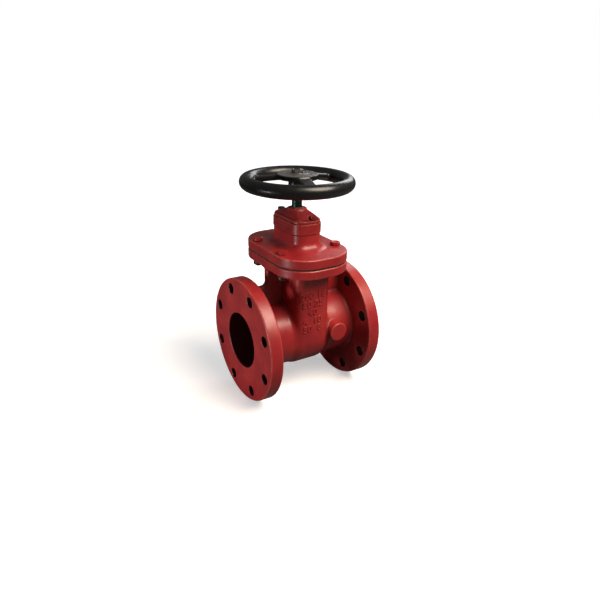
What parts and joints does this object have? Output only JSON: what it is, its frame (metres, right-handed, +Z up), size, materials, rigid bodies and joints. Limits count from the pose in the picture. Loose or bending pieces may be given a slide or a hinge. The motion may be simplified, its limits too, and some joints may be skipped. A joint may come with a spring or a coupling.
{
  "type": "flanged gate valve",
  "caption": "Flanged resilient-wedge gate valve with a non-rising stem and a handwheel, for a bolted pipeline.",
  "frame": {"origin": "where the pipe's axis meets the stem's axis, at the middle of the waterway", "axes": "+X along the pipe from the inlet flange to the outlet flange, +Z up the stem to the handwheel, -Y towards the side with the blank boss"},
  "size_m": [0.2286, 0.2286, 0.4133],
  "materials": {
    "red_enamel": "gloss enamel over a cast surface",
    "painted_bolt": "painted over",
    "dark_steel": "dark plated",
    "black_enamel": "gloss enamel",
    "stem_steel": "turned, dark",
    "bronze": "machined",
    "black_rubber": "matt",
    "cast_iron": "as cast",
    "nylon": "moulded"
  },
  "bodies": {
    "valve": {"body": "red_enamel", "bonnet_gasket": "black_rubber", "bonnet": "red_enamel", "bonnet_bolt_1": "painted_bolt", "bonnet_bolt_2": "painted_bolt", "bonnet_bolt_3": "painted_bolt", "bonnet_bolt_4": "painted_bolt", "bonnet_nut_1": "dark_steel", "bonnet_nut_2": "dark_steel", "bonnet_nut_3": "dark_steel", "bonnet_nut_4": "dark_steel", "thrust_washer_lower": "bronze", "thrust_washer_upper": "bronze", "seal_plate_gasket": "black_rubber", "seal_plate": "red_enamel", "seal_plate_bolt_1": "dark_steel", "seal_plate_bolt_2": "dark_steel", "stem_o_ring_1": "black_rubber", "stem_o_ring_2": "black_rubber", "stem_wiper": "black_rubber"},
    "stem": {"stem": "stem_steel", "handwheel": "black_enamel", "handwheel_washer": "dark_steel", "handwheel_nut": "dark_steel"},
    "wedge": {"wedge_core": "cast_iron", "wedge_rubber": "black_rubber", "stem_nut": "bronze", "guide_shoe_front": "nylon", "guide_shoe_back": "nylon"}
  },
  "joints": [
    {"name": "stem_turn", "type": "hinge", "parent": "valve", "child": "stem", "pos_m": [0, 0, 0], "axis": [0, 0, 1], "range_deg": [-4680, 0]},
    {"name": "wedge_slide", "type": "slide", "parent": "valve", "child": "wedge", "axis": [0, 0, 1], "range_m": [-0.104, 0]}
  ],
  "couplings": [
    {"joint": "stem_turn", "follows": "wedge_slide", "rad_per_m": 785.4}
  ]
}
